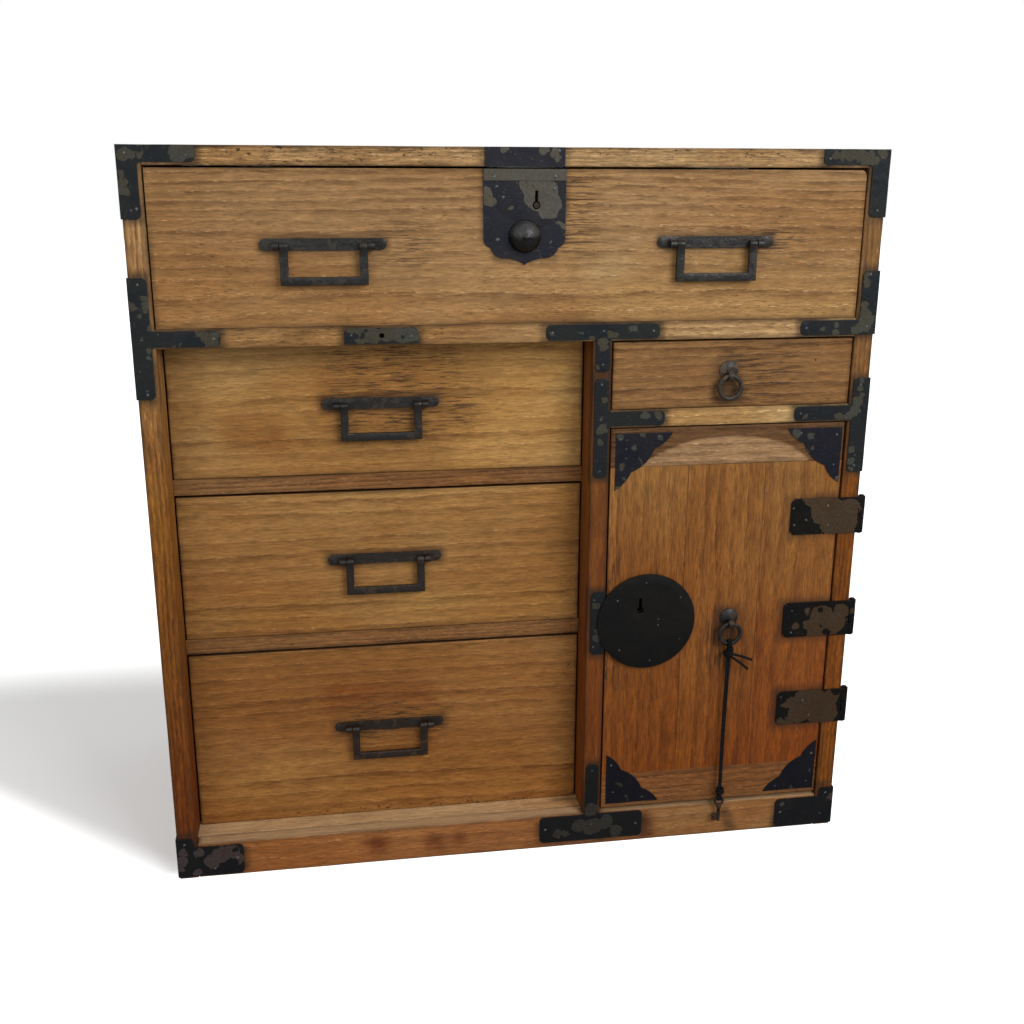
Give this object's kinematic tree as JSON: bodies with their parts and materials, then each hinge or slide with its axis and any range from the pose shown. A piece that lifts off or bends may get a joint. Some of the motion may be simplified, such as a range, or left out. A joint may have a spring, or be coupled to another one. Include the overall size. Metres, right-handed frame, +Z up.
{
  "type": "clothing chest",
  "caption": "Upright wooden clothing chest: a wide top drawer, recessed drawers at the left, a small drawer over a side-hung locking door, dark iron fittings and a key on a cord.",
  "frame": {"origin": "on the floor at the middle of the carcass's footprint", "axes": "+Z up, front faces -Y, +X to the right as seen from the front"},
  "size_m": [0.8919, 0.432, 0.9],
  "materials": {
    "carcass_wood": "old, worn, reddish brown",
    "rail_wood": "weathered, open-grained",
    "inner_wood": "bare and pale",
    "drawer_wood": "honey-coloured, worn",
    "door_wood": "reddish brown, upright grain",
    "black_iron": "blackened sheet, patchy",
    "hinge_iron": "worn grey-brown",
    "handle_iron": "blackened, satin",
    "pull_iron": "brownish grey, rubbed",
    "lock_iron": "dark, dull",
    "black_cord": "twisted cotton"
  },
  "bodies": {
    "carcass": {"left_side_board": "carcass_wood", "right_side_board": "carcass_wood", "top_board": "carcass_wood", "bottom_board": "inner_wood", "bottom_front_rail": "rail_wood", "back_boards": "inner_wood", "upper_rail": "rail_wood", "upper_shelf": "inner_wood", "centre_divider": "carcass_wood", "small_drawer_rail": "rail_wood", "small_drawer_shelf": "inner_wood", "left_bay_rails": "rail_wood", "left_bay_shelves": "inner_wood", "top_corner_brackets": "black_iron", "bottom_corner_brackets": "black_iron", "left_rail_bracket": "black_iron", "right_rail_brackets": "black_iron", "divider_brackets": "black_iron", "rail_lock_plate": "black_iron", "door_strike_plate": "black_iron", "top_lock_keeper": "black_iron", "hinge_side_leaves": "hinge_iron", "hinge_pins": "hinge_iron"},
    "top_drawer": {"top_drawer_front": "drawer_wood", "top_drawer_box": "inner_wood", "top_drawer_handle_plates": "handle_iron", "top_lock_plate": "black_iron", "top_lock_case": "lock_iron"},
    "left_bail_of_top_drawer": {"top_left_bail": "handle_iron"},
    "right_bail_of_top_drawer": {"top_right_bail": "handle_iron"},
    "lock_button": {"top_lock_button": "handle_iron"},
    "lock_bolt": {"top_lock_bolt": "lock_iron"},
    "small_drawer": {"small_drawer_front": "drawer_wood", "small_drawer_box": "inner_wood", "small_drawer_rosette": "pull_iron"},
    "ring_of_small_drawer": {"small_drawer_ring": "pull_iron"},
    "upper_left_drawer": {"upper_drawer_front": "drawer_wood", "upper_drawer_box": "inner_wood", "upper_handle_plate": "handle_iron"},
    "bail_of_upper_drawer": {"upper_bail": "handle_iron"},
    "middle_left_drawer": {"middle_drawer_front": "drawer_wood", "middle_drawer_box": "inner_wood", "middle_handle_plate": "handle_iron"},
    "bail_of_middle_drawer": {"middle_bail": "handle_iron"},
    "lower_left_drawer": {"lower_drawer_front": "drawer_wood", "lower_drawer_box": "inner_wood", "lower_handle_plate": "handle_iron"},
    "bail_of_lower_drawer": {"lower_bail": "handle_iron"},
    "door": {"door_boards": "door_wood", "door_end_boards": "door_wood", "door_corner_plates": "black_iron", "door_lock_disc": "black_iron", "door_lock_case": "lock_iron", "door_rosette": "pull_iron", "door_hinge_straps": "hinge_iron"},
    "bolt_of_door": {"door_lock_bolt": "lock_iron"},
    "ring_of_door": {"door_ring": "pull_iron"},
    "key_on_cord": {"key_cord": "black_cord", "key_cord_knots": "black_cord", "key": "lock_iron"}
  },
  "joints": [
    {"name": "top_drawer_slide", "type": "slide", "parent": "carcass", "child": "top_drawer", "axis": [0, -1, 0], "range_m": [0, 0.3]},
    {"name": "top_left_bail_swing", "type": "hinge", "parent": "top_drawer", "child": "left_bail_of_top_drawer", "pos_m": [-0.2255, -0.2116, 0.79255], "axis": [-1, 0, 0], "range_deg": [0, 160]},
    {"name": "top_right_bail_swing", "type": "hinge", "parent": "top_drawer", "child": "right_bail_of_top_drawer", "pos_m": [0.2315, -0.2116, 0.79255], "axis": [-1, 0, 0], "range_deg": [0, 160]},
    {"name": "lock_button_press", "type": "slide", "parent": "top_drawer", "child": "lock_button", "axis": [0, 1, 0], "range_m": [0, 0.005]},
    {"name": "lock_bolt_rise", "type": "slide", "parent": "top_drawer", "child": "lock_bolt", "axis": [0, 0, 1], "range_m": [0, 0.008]},
    {"name": "small_drawer_slide", "type": "slide", "parent": "carcass", "child": "small_drawer", "axis": [0, -1, 0], "range_m": [0, 0.3]},
    {"name": "small_ring_swing", "type": "hinge", "parent": "small_drawer", "child": "ring_of_small_drawer", "pos_m": [0.257, -0.213, 0.6355], "axis": [-1, 0, 0], "range_deg": [0, 120]},
    {"name": "upper_drawer_slide", "type": "slide", "parent": "carcass", "child": "upper_left_drawer", "axis": [0, -1, 0], "range_m": [0, 0.26]},
    {"name": "upper_bail_swing", "type": "hinge", "parent": "upper_left_drawer", "child": "bail_of_upper_drawer", "pos_m": [-0.1645, -0.1651, 0.60205], "axis": [-1, 0, 0], "range_deg": [0, 160]},
    {"name": "middle_drawer_slide", "type": "slide", "parent": "carcass", "child": "middle_left_drawer", "axis": [0, -1, 0], "range_m": [0, 0.26]},
    {"name": "middle_bail_swing", "type": "hinge", "parent": "middle_left_drawer", "child": "bail_of_middle_drawer", "pos_m": [-0.1645, -0.1651, 0.40455], "axis": [-1, 0, 0], "range_deg": [0, 160]},
    {"name": "lower_drawer_slide", "type": "slide", "parent": "carcass", "child": "lower_left_drawer", "axis": [0, -1, 0], "range_m": [0, 0.26]},
    {"name": "lower_bail_swing", "type": "hinge", "parent": "lower_left_drawer", "child": "bail_of_lower_drawer", "pos_m": [-0.1645, -0.1651, 0.1743], "axis": [-1, 0, 0], "range_deg": [0, 160]},
    {"name": "door_swing", "type": "hinge", "parent": "carcass", "child": "door", "pos_m": [0.4454, -0.2025, 0.309], "axis": [0, 0, 1], "range_deg": [0, 240]},
    {"name": "door_bolt_slide", "type": "slide", "parent": "door", "child": "bolt_of_door", "axis": [-1, 0, 0], "range_m": [0, 0.009]},
    {"name": "door_ring_swing", "type": "hinge", "parent": "door", "child": "ring_of_door", "pos_m": [0.2755, -0.2125, 0.31202], "axis": [-1, 0, 0], "range_deg": [0, 120]},
    {"name": "cord_hang", "type": "hinge", "parent": "ring_of_door", "child": "key_on_cord", "pos_m": [0.2755, -0.2125, 0.28442], "axis": [-1, 0, 0], "range_deg": [-120, 0]}
  ],
  "couplings": [
    {"joint": "lock_bolt_rise", "follows": "lock_button_press", "ratio": 1.6},
    {"joint": "cord_hang", "follows": "door_ring_swing", "ratio": -1}
  ]
}
